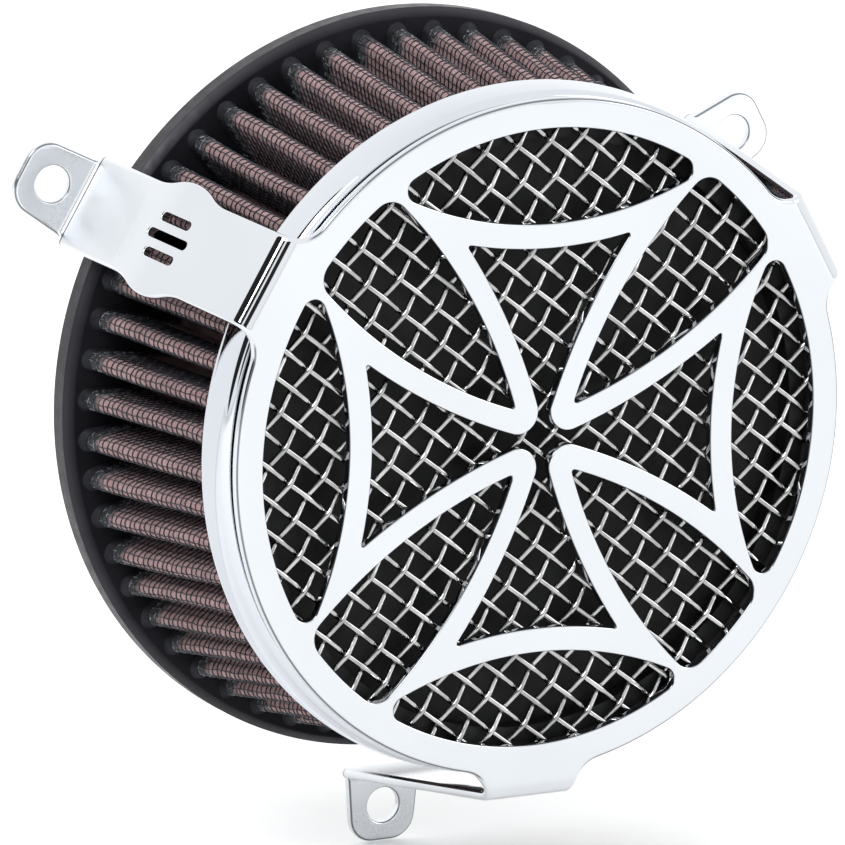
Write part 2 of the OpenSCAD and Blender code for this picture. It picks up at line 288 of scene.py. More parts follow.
class Look:
    """A node material with one Principled shader. Constant values are set on the shader's own sockets."""

    def __init__(self, name, **constants):
        self.material = bpy.data.materials.new(name)
        self.material.use_nodes = True
        self.nodes = self.material.node_tree.nodes
        self.links = self.material.node_tree.links
        self.shader = self.nodes["Principled BSDF"]
        for socket, value in constants.items():
            self.shader.inputs[socket.replace("_", " ")].default_value = value
        self.where = self.nodes.new("ShaderNodeTexCoord").outputs["Object"]

    def node(self, kind, values=None, **settings):
        made = self.nodes.new("ShaderNode" + kind)
        for key, value in settings.items():
            setattr(made, key, value)
        for socket, value in (values or {}).items():
            if isinstance(value, bpy.types.NodeSocket):
                self.links.new(value, made.inputs[socket])
            else:
                made.inputs[socket].default_value = value
        return made

    def noise(self, size_mm, detail=3):
        """Noise from 0 to 1 whose features are about size_mm across."""
        return self.node("TexNoise", {"Vector": self.where, "Scale": 1000 / size_mm,
                                      "Detail": detail}).outputs["Fac"]

    def ramp(self, value, *stops):
        """Colour stops (place, colour) over a value; a colour is a grey number or (r, g, b)."""
        made = self.node("ValToRGB", {"Fac": value})
        elements = made.color_ramp.elements
        while len(elements) < len(stops):
            elements.new(0.5)
        for element, (at, colour) in zip(elements, stops):
            element.position = at
            element.color = (*colour, 1) if isinstance(colour, tuple) else (colour,) * 3 + (1,)
        return made.outputs["Color"]

    def spread(self, value, low, high, start=0.3, end=0.7):
        """A value from low to high as the given one goes from start to end."""
        return self.node("MapRange", {"Value": value, "From Min": start, "From Max": end,
                                      "To Min": low, "To Max": high}).outputs["Result"]

    def height_and_radius(self):
        """Height over the mounting plane and distance from the filter's axis, both in mm."""
        apart = self.node("SeparateXYZ", {"Vector": self.where}).outputs
        across, down, upright = (self.math("MULTIPLY", apart[axis], 1000.0) for axis in "XYZ")
        square = self.math("MULTIPLY_ADD", across, across, self.math("MULTIPLY", upright, upright))
        return self.math("MULTIPLY", down, -1.0), self.math("SQRT", square)

    def math(self, operation, a, b=0.0, c=0.0):
        return self.node("Math", {0: a, 1: b, 2: c}, operation=operation).outputs[0]

    def mix(self, share, a, b):
        """Colour a where share is 0, and b where it is 1."""
        return self.node("Mix", {0: share, 6: a, 7: b}, data_type="RGBA").outputs[2]

    def set(self, socket, value):
        self.links.new(value, self.shader.inputs[socket])

    def bump(self, height, depth_mm, strength=1.0):
        made = self.node("Bump", {"Height": height, "Distance": depth_mm / 1000, "Strength": strength})
        self.set("Normal", made.outputs["Normal"])


# Painted shade and dark reflection: the colour of thin dark lines on the chrome's cut edges and in the
# inside bend of each foot.
PAINTED_EDGE_SHADE_TINT = (0.16, 0.17, 0.185, 1)
PALE_FOOT_TINT = (0.69, 0.71, 0.735, 1)
DULL_SPAN = 60.0  # mm over the mounting plane that the ramp of dullness is laid out over


def chrome(name, tint_low, tint_high):
    """Polished chrome: faint tint changes, a soft sheen that comes and goes, painted shade and dark
    reflection lines on the cut edges round the face and the feet and in the inside bend of each foot, and
    a duller polish with a paler tint towards the feet."""
    look = Look(name, Metallic=1.0)
    height, radius = look.height_and_radius()
    on_face = look.spread(radius, 1.0, 0.0, PLATE_R + 0.5, PLATE_R + 1.5)
    # Painted shade: masks for thin dark lines at the face's cut edges, the feet's cut edges and the inside
    # bend of each foot, standing in for dark reflections and shade.
    off_edges = [look.math("ABSOLUTE", look.math("SUBTRACT", height, top - EDGE_DEPTH))
                 for top in (COVER_H, SHEET, CREASE)]
    face_edge_painted_shade, foot_edge_painted_shade, crease_painted_shade = (look.spread(off, 1.0, 0.0, 0.1, 0.2) for off in off_edges)
    face_edge_painted_shade = look.math("MULTIPLY", face_edge_painted_shade, on_face)
    edge = look.math("MAXIMUM", face_edge_painted_shade, look.math("MAXIMUM", foot_edge_painted_shade, crease_painted_shade))
    duller = look.ramp(look.spread(height, 0.0, 1.0, 0.0, DULL_SPAN),
                       (0.05, 0.24), (0.09, 0.34), (0.36, 0.3), (0.62, 0.0))
    tint = look.ramp(look.noise(40, 2), (0.3, tint_low), (0.7, tint_high))
    # Paler tint towards the feet, laid over the same ramp that makes the polish duller there.
    tint = look.mix(look.math("MULTIPLY", duller, 3.0), tint, PALE_FOOT_TINT)
    # The painted dark lines of shade and reflection go over the tint here.
    look.set("Base Color", look.mix(edge, tint, PAINTED_EDGE_SHADE_TINT))
    wipe = look.math("ADD", look.noise(22, 4), look.math("MULTIPLY", look.noise(0.7, 2), 0.25))
    look.set("Roughness", look.math("ADD", look.spread(wipe, 0.02, 0.045, 0.4, 0.85), duller))
    look.bump(look.noise(30, 1), 0.02, 0.5)
    return look.material


def stainless():
    """Bright drawn wire with fine draw marks."""
    look = Look("stainless_wire", Metallic=1.0)
    look.set("Base Color", look.ramp(look.noise(5, 3), (0.3, 0.27), (0.7, (0.46, 0.455, 0.45))))
    look.set("Roughness", look.spread(look.noise(1.2, 4), 0.05, 0.13))
    look.bump(look.noise(0.5, 3), 0.02, 0.4)
    return look.material


def black_coat(name, low, high, grain_mm, depth_mm, rough=(0.4, 0.6), specular=0.4):
    """Dark coated metal or cast urethane, with a grain."""
    look = Look(name, Specular_IOR_Level=specular)
    look.set("Base Color", look.ramp(look.noise(grain_mm * 6, 5), (0.35, low), (0.7, high)))
    look.set("Roughness", look.spread(look.noise(grain_mm * 2, 4), *rough))
    look.bump(look.noise(grain_mm, 4), depth_mm, 0.7)
    return look.material


def gauze_wire():
    """Thin wire under a glossy dark blue-grey epoxy coat, with painted glints: paler flecks on the wires
    near the flange.
    """
    look = Look("epoxy_gauze", Metallic=0.2)
    coat = look.ramp(look.noise(3, 3), (0.35, (0.012, 0.013, 0.018)), (0.7, (0.035, 0.04, 0.052)))
    height = look.height_and_radius()[0]
    # Painted glints: paler flecks of colour on the wires just above the flange.
    painted_glints = look.math("MULTIPLY", look.spread(height, 1.0, 0.0, FLANGE_T + 5, FLANGE_T + 9),
                     look.spread(look.noise(1.1, 3), 0.0, 1.0, 0.5, 0.62))
    look.set("Base Color", look.mix(painted_glints, coat, (0.2, 0.215, 0.24, 1)))
    look.set("Roughness", look.spread(look.noise(0.8, 3), 0.22, 0.45))
    look.bump(look.noise(0.4, 2), 0.03, 0.5)
    return look.material


def cotton():
    """Oiled cotton: a woven cloth, dusty in places, black where the potting soaked in."""
    look = Look("oiled_cotton", Specular_IOR_Level=0.25, Sheen_Weight=0.15, Sheen_Roughness=0.5)
    threads = look.node("SeparateXYZ", {"Vector": look.node("UVMap").outputs["UV"]})
    u, v = threads.outputs["X"], threads.outputs["Y"]
    per_mm = 2 * math.pi / 0.42
    weave = look.math("MULTIPLY_ADD", look.math("SINE", look.math("MULTIPLY", u, per_mm)),
                      look.math("SINE", look.math("MULTIPLY", v, per_mm)), 1.0)
    fibres = look.noise(0.35, 4)
    patches = look.noise(7, 4)
    oil = look.ramp(patches, (0.3, (0.2, 0.115, 0.118)), (0.55, (0.275, 0.165, 0.168)),
                    (0.8, (0.36, 0.235, 0.238)))
    dusty = look.mix(look.spread(fibres, 0.0, 0.5, 0.35, 0.75), oil, (0.47, 0.34, 0.345, 1))
    up_to = look.math("ADD", v, look.math("MULTIPLY", look.noise(2.2, 3), 2.5))
    soaked = look.spread(up_to, 1.0, 0.0, FLANGE_T + 5.5, FLANGE_T + 8.2)
    look.set("Base Color", look.mix(soaked, dusty, (0.012, 0.013, 0.016, 1)))
    look.set("Roughness", look.spread(fibres, 0.75, 0.95))
    look.bump(look.math("ADD", look.math("MULTIPLY", weave, 0.35), fibres), 0.16, 0.8)
    return look.material


def inner_gauze():
    """Fine gauze over cotton, drawn on the skin that covers the inside of the pleats."""
    look = Look("inner_gauze", Specular_IOR_Level=0.4)
    threads = look.node("SeparateXYZ", {"Vector": look.node("UVMap").outputs["UV"]})
    waves = [look.math("ABSOLUTE", look.math("SINE", look.math("MULTIPLY", threads.outputs[axis],
                                                                math.pi / GAUZE_PITCH))) for axis in "XY"]
    near_wire = look.math("MINIMUM", *waves)
    wire = look.spread(near_wire, 1.0, 0.0, 0.25, 0.42)
    cloth = look.ramp(look.noise(6, 4), (0.3, (0.24, 0.125, 0.115)), (0.7, (0.4, 0.235, 0.22)))
    look.set("Base Color", look.mix(wire, cloth, (0.02, 0.022, 0.028, 1)))
    look.set("Roughness", look.spread(wire, 0.9, 0.35, 0.0, 1.0))
    look.bump(look.math("ADD", wire, look.math("MULTIPLY", look.noise(0.5, 3), 0.3)), 0.3, 0.9)
    return look.material


def urethane():
    """Moulded charcoal urethane with a fine matt grain and faint scuffs."""
    look = Look("charcoal_urethane", Specular_Tint=(0.9, 0.88, 1.0, 1))
    radius = look.height_and_radius()[1]
    look.set("Specular IOR Level", look.spread(radius, 0.08, 0.36, FLANGE_R - 2, FLANGE_R - 0.5))
    look.set("Base Color", look.ramp(look.noise(14, 5), (0.3, (0.005, 0.005, 0.0065)),
                                     (0.7, (0.011, 0.011, 0.0135))))
    look.set("Roughness", look.spread(look.noise(3, 5), 0.36, 0.52))
    swells = look.math("MULTIPLY", look.noise(9, 2), 0.6)
    look.bump(look.math("ADD", look.noise(0.6, 4), swells), 0.07, 0.6)
    return look.material


CHROME = chrome("polished_chrome", (0.56, 0.58, 0.605), (0.585, 0.605, 0.63))
RING_CHROME = chrome("spun_chrome", (0.53, 0.55, 0.59), (0.57, 0.595, 0.63))
STAINLESS = stainless()
COTTON = cotton()
GAUZE = gauze_wire()
INNER_GAUZE = inner_gauze()
URETHANE = urethane()


# ---- cover: cut out of flat sheet, then folded ----

NORMAL = np.array([math.cos(LEG_SLOPE), math.sin(LEG_SLOPE)])
DOWN = np.array([math.sin(LEG_SLOPE), -math.cos(LEG_SLOPE)])
BEND_C = np.array([LEG_N - BEND_R * (1 - NORMAL[1]) / NORMAL[0], COVER_H - BEND_R])
FOOT_C = np.array([LEG_N + (FOOT_BEND_R + (COVER_H - SHEET - FOOT_BEND_R) * NORMAL[1]) / NORMAL[0],
                   SHEET + FOOT_BEND_R])
LEG_TOP = BEND_C + BEND_R * NORMAL
LEG_LENGTH = np.hypot(*(FOOT_C - FOOT_BEND_R * NORMAL - LEG_TOP))
TURN = math.pi / 2 - LEG_SLOPE
BEND_LENGTH = TURN * (BEND_R - SHEET / 2)
FOOT_BEND_LENGTH = TURN * (FOOT_BEND_R + SHEET / 2)
LEG_START = BEND_C[0]  # distance from the axis where the flat face ends
FOOT_START = LEG_START + BEND_LENGTH + LEG_LENGTH + FOOT_BEND_LENGTH  # in the flat sheet
BEND_CUTS, LEG_CUTS = 9, 8


def folded(out, depth):
    """Distance from the axis and height of a point of a leg. In the flat sheet it is out from the axis
    and depth below the outer surface."""
    s = out - LEG_START
    if s <= 0:
        return out, COVER_H - depth
    if s < BEND_LENGTH:
        angle = math.pi / 2 - TURN * s / BEND_LENGTH
        return BEND_C + (BEND_R - depth) * np.array([math.cos(angle), math.sin(angle)])
    s -= BEND_LENGTH
    if s < LEG_LENGTH:
        return LEG_TOP + s * DOWN - depth * NORMAL
    s -= LEG_LENGTH
    if s < FOOT_BEND_LENGTH:
        angle = math.pi + LEG_SLOPE + TURN * s / FOOT_BEND_LENGTH
        return FOOT_C + (FOOT_BEND_R + depth) * np.array([math.cos(angle), math.sin(angle)])
    return FOOT_C[0] + s - FOOT_BEND_LENGTH, SHEET - depth


def cross_outline():
    """The four-armed opening in the middle of the face."""
    stretches = []
    tip = np.array([TIP_AT, TIP_AT])
    side = meet(tip, ARM_SIDE_R - TIP_R, (ARM_END, ARM_REACH), ARM_SIDE_R)
    touch = tip + TIP_R * (tip - side) / np.hypot(*(tip - side))
    end = np.array([0, ARM_END_AT + ARM_END_R])
    for quarter in range(4):
        inwards = arc(side[::-1], (ARM_REACH, ARM_END), touch[::-1])
        nose = arc(tip, touch[::-1], touch, 0.5)
        outwards = arc(side, touch, (ARM_END, ARM_REACH))
        across = arc(end, (ARM_END, ARM_REACH), (-ARM_END, ARM_REACH))
        stretches += [turned(np.vstack([inwards, nose[1:-1], outwards]), 90 * quarter),
                      turned(across, 90 * quarter)]
    return joined(stretches, ARM_CORNER)


def wedge_outline():
    """A corner opening between two arms of the cross."""
    corner_y = BAND_R * WEDGE_CORNER_AT
    corner = np.array([math.sqrt((BAND_R - WEDGE_CORNER_R) ** 2 - corner_y ** 2), corner_y])
    point = np.array([WEDGE_POINT, WEDGE_POINT])
    side = meet(point, WEDGE_SIDE_R, corner, WEDGE_SIDE_R - WEDGE_CORNER_R)
    on_side = side + (corner - side) * WEDGE_SIDE_R / np.hypot(*(corner - side))
    on_band = corner * BAND_R / np.hypot(*corner)
    half = np.vstack([arc((0, 0), (BAND_R / math.sqrt(2),) * 2, on_band),
                      arc(corner, on_band, on_side, 0.5)[1:-1], arc(side, on_side, point)])
    return joined([np.vstack([half[::-1][:, ::-1], half[1:]])], WEDGE_TIP)


def lens_outline():
    """An opening along the edge, outside one arm of the cross."""
    middle = LENS_AT + LENS_R
    end_y = ((BAND_R - LENS_END_R) ** 2 - (LENS_R - LENS_END_R) ** 2 + middle ** 2) / (2 * middle)
    end = np.array([math.sqrt((BAND_R - LENS_END_R) ** 2 - end_y ** 2), end_y])
    centre = np.array([0, middle])
    on_band = end * BAND_R / np.hypot(*end)
    on_inner = centre + (end - centre) * LENS_R / np.hypot(*(end - centre))
    flip = np.array([-1, 1])
    outer = arc((0, 0), on_band, on_band * flip)
    left = arc(end * flip, on_band * flip, on_inner * flip, 0.4)
    inner = arc(centre, on_inner * flip, on_inner)
    right = arc(end, on_inner, on_band, 0.4)
    return np.vstack([outer, left[1:-1], inner, right[1:-1]])


def leg_side(swelled):
    """One side of a leg and its foot in the flat sheet, from the round edge out, as (out, across)."""
    across = LEG_W + ROOT_FILLET
    out = math.sqrt((PLATE_R + ROOT_FILLET) ** 2 - across ** 2)
    fillet = np.array([out, across])
    root = arc(fillet, fillet * PLATE_R / (PLATE_R + ROOT_FILLET), (out, LEG_W), 0.6)
    middle = LEG_START + BEND_LENGTH + LEG_LENGTH / 2
    swell_r = ((SWELL_LEN / 2) ** 2 + (SWELL / 2) ** 2) / SWELL
    bends = [(middle - SWELL_LEN, LEG_W), (middle - SWELL_LEN / 2, LEG_W + SWELL / 2),
             (middle + SWELL_LEN / 2, LEG_W + SWELL / 2), (middle + SWELL_LEN, LEG_W)]
    centres = [(middle - SWELL_LEN, LEG_W + swell_r), (middle, LEG_W + SWELL - swell_r),
               (middle + SWELL_LEN, LEG_W + swell_r)]
    swell = [arc(centres[k], bends[k], bends[k + 1])[1:] for k in range(3)]
    shoulder = FOOT_START - SHOULDER_AT * FOOT_BEND_LENGTH
    tip = FOOT_START + FOOT_END - FOOT_C[0]
    end = rounded([(middle + SWELL_LEN + 4, LEG_W, 0), (shoulder, LEG_W, 1.1), (shoulder, FOOT_W, 0.25),
                   (tip, FOOT_TIP_W, FOOT_CORNER), (tip, 0, 0)])
    return np.vstack([root, bends[0], *swell, end] if swelled else [root, end])


def cover_outline():
    """The cover's outside edge in the flat sheet, anticlockwise."""
    parts = []
    for k, angle in enumerate(LEG_ANGLES):
        side = leg_side(angle == SLOTTED_LEG)
        previous = LEG_ANGLES[k - 1]
        parts.append(arc((0, 0), turned(side[0], previous), turned(side[0] * (1, -1), angle), 1.2)[1:-1])
        parts.append(turned(side * (1, -1), angle))
        parts.append(turned(side[-2::-1], angle))
    return np.vstack(parts)


def slot_outline(across, length):
    """A rounded slot along a leg."""
    middle = LEG_START + BEND_LENGTH + LEG_LENGTH / 2
    r = SLOT_W / 2
    near, far = middle - length / 2 - r, middle + length / 2 + r
    end_r = r * 0.999  # a hair smaller, so that the two arcs of an end stay apart
    return rounded([(far, across - r, end_r), (far, across + r, end_r),
                    (near, across + r, end_r), (near, across - r, end_r)])


def shrunk(outline, by):
    """A closed outline moved to its left, which is inwards on an anticlockwise one."""
    ahead = np.roll(outline, -1, axis=0) - outline
    ahead /= np.hypot(*ahead.T)[:, None]
    behind = np.roll(ahead, 1, axis=0)
    left = np.stack([-(ahead + behind)[:, 1], (ahead + behind)[:, 0]], axis=1)
    left /= np.hypot(*left.T)[:, None]
    miter = np.sum(left * np.stack([-ahead[:, 1], ahead[:, 0]], axis=1), axis=1, keepdims=True)
    return outline + by * left / np.maximum(miter, 0.5)


def cover_mesh():
    """The cover cut from flat sheet with rounded edges, then folded."""
    loops = [(cover_outline(), OUTER_EDGE), (cross_outline()[::-1], CUT_EDGE)]
    for quarter in range(4):
        loops.append((turned(wedge_outline(), 90 * quarter), CUT_EDGE))
        loops.append((turned(lens_outline(), 90 * quarter), CUT_EDGE))
    foot_hole = FOOT_START + FOOT_CIRCLE_R - FOOT_C[0]
    for angle in LEG_ANGLES:
        loops.append((turned(circle((foot_hole, 0), FOOT_HOLE_R), angle), HOLE_EDGE))
    for k, length in enumerate(SLOT_LEN):
        loops.append((turned(slot_outline((k - 1) * SLOT_GAP, length), SLOTTED_LEG), SLOT_EDGE))

    sheet = bmesh.new()
    rims = []
    for number, (outline, edge) in enumerate(loops):
        x, y = outline.T
        area = np.sum(x * np.roll(y, -1) - y * np.roll(x, -1)) / 2
        outline = outline if (area > 0) == (number == 0) else outline[::-1]
        quarter_turn = np.linspace(0, math.pi / 2, EDGE_LEVELS)
        levels = [(edge * (1 - math.sin(a)), edge * (1 - math.cos(a))) for a in quarter_turn]
        levels += [(inset, SHEET - depth) for inset, depth in reversed(levels)]
        rings = [[sheet.verts.new((px, py, COVER_H - depth)) for px, py in shrunk(outline, inset)]
                 for inset, depth in levels]
        for upper, lower in zip(rings, rings[1:]):
            for i in range(len(outline)):
                sheet.faces.new((upper[i - 1], lower[i - 1], lower[i], upper[i]))
        rims.append((rings[0], rings[-1]))
    for back in (0, 1):
        rim_points = [[v.co.xy.to_3d() for v in rim[back]] for rim in rims]
        corners = [v for rim in rims for v in rim[back]]
        for triangle in tessellate_polygon(rim_points):
            sheet.faces.new([corners[i] for i in triangle])

    cuts = list(np.linspace(LEG_START, LEG_START + BEND_LENGTH, BEND_CUTS))
    cuts += list(np.linspace(cuts[-1], cuts[-1] + LEG_LENGTH, LEG_CUTS))[1:]
    cuts += list(np.linspace(cuts[-1], FOOT_START, BEND_CUTS))[1:]
    for angle in LEG_ANGLES:
        outwards = Vector((math.cos(math.radians(angle)), math.sin(math.radians(angle)), 0))
        for out in cuts:
            bmesh.ops.bisect_plane(sheet, geom=sheet.verts[:] + sheet.edges[:] + sheet.faces[:],
                                   plane_co=outwards * out, plane_no=outwards, dist=1e-5)
        sideways = Vector((-outwards.y, outwards.x, 0))
        for v in sheet.verts:
            out = v.co.dot(outwards)
            if out > LEG_START - 1e-4:
                across = v.co.dot(sideways)
                away, height = folded(out, COVER_H - v.co.z)
                v.co = outwards * float(away) + sideways * across + Vector((0, 0, float(height)))
    bmesh.ops.remove_doubles(sheet, verts=sheet.verts[:], dist=1e-4)
    bmesh.ops.recalc_face_normals(sheet, faces=sheet.faces[:])
    points = np.array([v.co for v in sheet.verts])
    faces = [[v.index for v in f.verts] for f in sheet.faces]
    sheet.free()
    return points, faces


cover = piece("cover_sheet", *cover_mesh(), "cover", "plate", CHROME, ["face_plate"])
cover_normals = cover.modifiers.new("keep flats flat", "WEIGHTED_NORMAL")
cover_normals.weight = 80


# ---- wire mesh: crimped wires that weave over and under ----


def mesh_wires(pitch, shift, other_pitch, other_shift, crimp, sign, across_first):
    """All wires of one layer. Each is a wave with its crests at the other layer's wires."""
    parts = []
    count = math.floor(WIRE_REACH / pitch)
    for i in range(-count, count + 1):
        side = i * pitch + shift
        if abs(side) >= WIRE_REACH - LAST_WIRE_IN:
            continue
        half = math.sqrt(WIRE_REACH ** 2 - side ** 2)
        run = np.linspace(-half, half, math.ceil(2 * half / other_pitch * 10))
        phase = np.pi * (run - other_shift) / other_pitch
        wave = np.cos(phase) + CREST_SHARPENING * np.cos(3 * phase)
        height = MESH_Z + sign * (-1) ** i * crimp * wave
        flat = np.full_like(run, side)
        p, q = (run, flat) if across_first else (flat, run)
        c, s = math.cos(WARP_ANGLE), math.sin(WARP_ANGLE)
        line = np.stack([p * c - q * s, p * s + q * c, height], axis=1)[None]
        parts.append(tubes(line, np.broadcast_to([0.0, 0.0, 1.0], line.shape), WIRE_R, WIRE_SIDES))
    return together(parts)


warp, weft = (WARP_PITCH, WARP_SHIFT), (WEFT_PITCH, WEFT_SHIFT)
piece("mesh_wires_along", *mesh_wires(*warp, *weft, WARP_CRIMP, 1, True),
      "cover", "wire", STAINLESS, ["mesh_warp_wires"])
piece("mesh_wires_across", *mesh_wires(*weft, *warp, WEFT_CRIMP, -1, False),
      "cover", "wire", STAINLESS, ["mesh_weft_wires"])


# ---- trim ring and flange ----


def ring_profile():
    """The spun ring: a rounded front corner, a wall that flares to the back and a rolled back edge."""
    lean = (RING_R - RING_FRONT_R) / (RING_FRONT - RING_BACK)
    inner = RING_SKIN
    return rounded([
        (RING_LIP_R, RING_FRONT, 0.5), (RING_LIP_R, RING_FRONT - inner, 0.4),
        (RING_FRONT_R - inner, RING_FRONT - inner, 0.6), (RING_R - inner - 0.1, RING_BACK, 0.5),
        (RING_R, RING_BACK, 0.55), (RING_R - lean * 1.3, RING_BACK + 1.3, 3),
        (RING_FRONT_R, RING_FRONT, 2.4),
    ], 0.2)


def flange_profile():
    """The moulded flange: a straight side, a chamfer, a flat front and the outlet's lip."""
    return rounded([
        (OUTLET_R, 0, 0.8), (FLANGE_R, 0, 0.9), (FLANGE_R, FLANGE_T - FLANGE_BEVEL, 0.35),
        (FLANGE_R - FLANGE_BEVEL, FLANGE_T, 0.5), (OUTLET_R + LIP_W + 1, FLANGE_T, 0.8),
        (OUTLET_R + LIP_W, LIP_H, 0.6), (OUTLET_R, LIP_H, 0.6),
    ], 0.25)


piece("trim_ring_spun", *lathe(ring_profile()), "filter", "trim", RING_CHROME, ["trim_ring"])
flange = piece("flange_moulded", *lathe(flange_profile()), "filter", "flange", URETHANE, ["base_flange"])
flange_normals = flange.modifiers.new("keep flats flat", "WEIGHTED_NORMAL")
flange_normals.weight = 80


# ---- pleats: cotton with wire gauze over it ----

TIP_C = TIP_BACK - FOLD_TIP_R
VALLEY_C = (VALLEY_BACK + FOLD_VALLEY_R) * np.array([math.cos(STEP / 2), math.sin(STEP / 2)])
LINK = VALLEY_C - np.array([TIP_C, 0])
FLANK_TURN = math.atan2(LINK[1], LINK[0]) - math.acos((FOLD_TIP_R + FOLD_VALLEY_R) / np.hypot(*LINK))
FLANK_LENGTH = math.sqrt(LINK @ LINK - (FOLD_TIP_R + FOLD_VALLEY_R) ** 2)
TIP_LENGTH = FLANK_TURN * FOLD_TIP_R
VALLEY_LENGTH = (FLANK_TURN - STEP / 2) * FOLD_VALLEY_R
HALF_PLEAT = TIP_LENGTH + FLANK_LENGTH + VALLEY_LENGTH

SWAY = 1.2  # how strongly the folds lean and wave, in degrees
FRONT_TILT = 0.12  # the cloth faces this much to the front, as the pleats taper

dice = np.random.RandomState(7)
LEAN = dice.normal(0, 0.16, PLEATS)
WAVE = dice.uniform(0.05, 0.16, PLEATS)
WAVE_PHASE = dice.uniform(0, 2 * np.pi, PLEATS)


def pleat_points(pleat, q, z, lift):
    """Place and outward direction of points of the pleated cloth. q is the distance along the cloth from
    the pleat's tip, z the height and lift the distance off the cloth. All are arrays of one shape."""
    side, q = np.sign(q), np.abs(q)
    on_tip = q <= TIP_LENGTH
    on_valley = q > TIP_LENGTH + FLANK_LENGTH
    tip_angle = q / FOLD_TIP_R
    down = np.array([math.sin(FLANK_TURN), -math.cos(FLANK_TURN)])
    flank_x = TIP_C + FOLD_TIP_R * math.cos(FLANK_TURN) - (q - TIP_LENGTH) * down[0]
    flank_y = FOLD_TIP_R * math.sin(FLANK_TURN) - (q - TIP_LENGTH) * down[1]
    share = np.clip((q - TIP_LENGTH - FLANK_LENGTH) / VALLEY_LENGTH, 0, 1)
    valley_angle = STEP / 2 + math.pi + (FLANK_TURN - STEP / 2) * (1 - share)
    angle = np.where(on_tip, tip_angle, np.where(on_valley, valley_angle - math.pi, FLANK_TURN))
    x = np.where(on_tip, TIP_C + FOLD_TIP_R * np.cos(tip_angle),
                 np.where(on_valley, VALLEY_C[0] + FOLD_VALLEY_R * np.cos(valley_angle), flank_x))
    y = np.where(on_tip, FOLD_TIP_R * np.sin(tip_angle),
                 np.where(on_valley, VALLEY_C[1] + FOLD_VALLEY_R * np.sin(valley_angle), flank_y))
    up = (z - MEDIA_Z0) / (MEDIA_Z1 - MEDIA_Z0)
    size = 1 - (1 - TAPER) * up
    x, y, angle = x * size + lift * np.cos(angle), side * (y * size + lift * np.sin(angle)), side * angle
    height = (np.hypot(x, y) / size - VALLEY_BACK) / (TIP_BACK - VALLEY_BACK)
    sway = (LEAN[pleat] + WAVE[pleat] * np.sin(5 * up + WAVE_PHASE[pleat])) * np.sin(np.pi * up)
    turn = PLEAT_TURN + STEP * pleat + np.clip(height, 0, 1) * np.radians(sway * SWAY)
    c, s = np.cos(turn), np.sin(turn)
    at = np.stack([x * c - y * s, x * s + y * c, z], axis=-1)
    facing = angle + turn
    return at, np.stack([np.cos(facing), np.sin(facing), np.full_like(facing, FRONT_TILT)], axis=-1)


def cloth_stations():
    """Distances along one pleat's cloth, from one valley to just before the next."""
    half = np.concatenate([np.linspace(0, TIP_LENGTH, 8),
                           TIP_LENGTH + FLANK_LENGTH * np.linspace(0, 1, 6)[1:],
                           TIP_LENGTH + FLANK_LENGTH + VALLEY_LENGTH * np.linspace(0, 1, 4)[1:]])
    return np.concatenate([-half[:0:-1], half])[:-1]


def pleated_skin(lift_out, lift_in, levels):
    """A closed pleated wall between two distances off the cloth, with the cloth's own u and v in mm."""
    q = cloth_stations()
    pleat, q = np.repeat(np.arange(PLEATS), len(q)), np.tile(q, PLEATS)
    rows, uvs = [], []
    for lift, heights in ((lift_out, levels), (lift_in, levels[::-1])):
        for z in heights:
            at, _ = pleat_points(pleat, q, np.full_like(q, z), np.full_like(q, lift))
            rows.append(at)
            uvs.append(np.stack([pleat * 2 * HALF_PLEAT + q, np.full_like(q, z)], axis=1))
    return np.vstack(rows), grid_faces(len(q), len(rows))[:, [0, 3, 2, 1]], np.vstack(uvs)


LEVELS = np.linspace(MEDIA_Z0, MEDIA_Z1, 15)
points, faces, uvs = pleated_skin(0, -COTTON_T, LEVELS)
piece("pleated_cotton", points, faces, "filter", "cotton", COTTON, ["pleated_media"], uvs)
points, faces, uvs = pleated_skin(-COTTON_T - 0.02, -COTTON_T - GAUZE_T, LEVELS)
piece("inner_gauze_skin", points, faces, "filter", "gauze", INNER_GAUZE, ["inner_screen"], uvs)

# The gauze over the cotton goes from each tip down both flanks, as far as light reaches.
GAUZE_SIDE = 7  # wires on each side of a pleat's tip
GAUZE_LEVELS = np.arange(FLANGE_T + 0.4, MEDIA_Z1 - 0.6, GAUZE_PITCH)
GAUZE_OFF, GAUZE_WEAVE = 0.17, 0.08  # distance off the cotton, and how far wires weave about it


def gauze_lengthwise(pleats):
    """Wires from the flange to the trim ring."""
    numbers = np.arange(-GAUZE_SIDE, GAUZE_SIDE + 1)
    pleat, number, level = np.meshgrid(pleats, numbers, np.arange(len(GAUZE_LEVELS)), indexing="ij")
    z = GAUZE_LEVELS[level]
    parity = (-1.0) ** (number + level)
    q = number * GAUZE_PITCH + 0.1 * parity + 0.14 * np.sin(z * 0.45 + pleat + number)
    at, up = pleat_points(pleat, q, z, GAUZE_OFF + GAUZE_WEAVE * parity)
    shape = (-1, len(GAUZE_LEVELS), 3)
    return tubes(at.reshape(shape), up.reshape(shape), LENGTHWISE_R, 3)


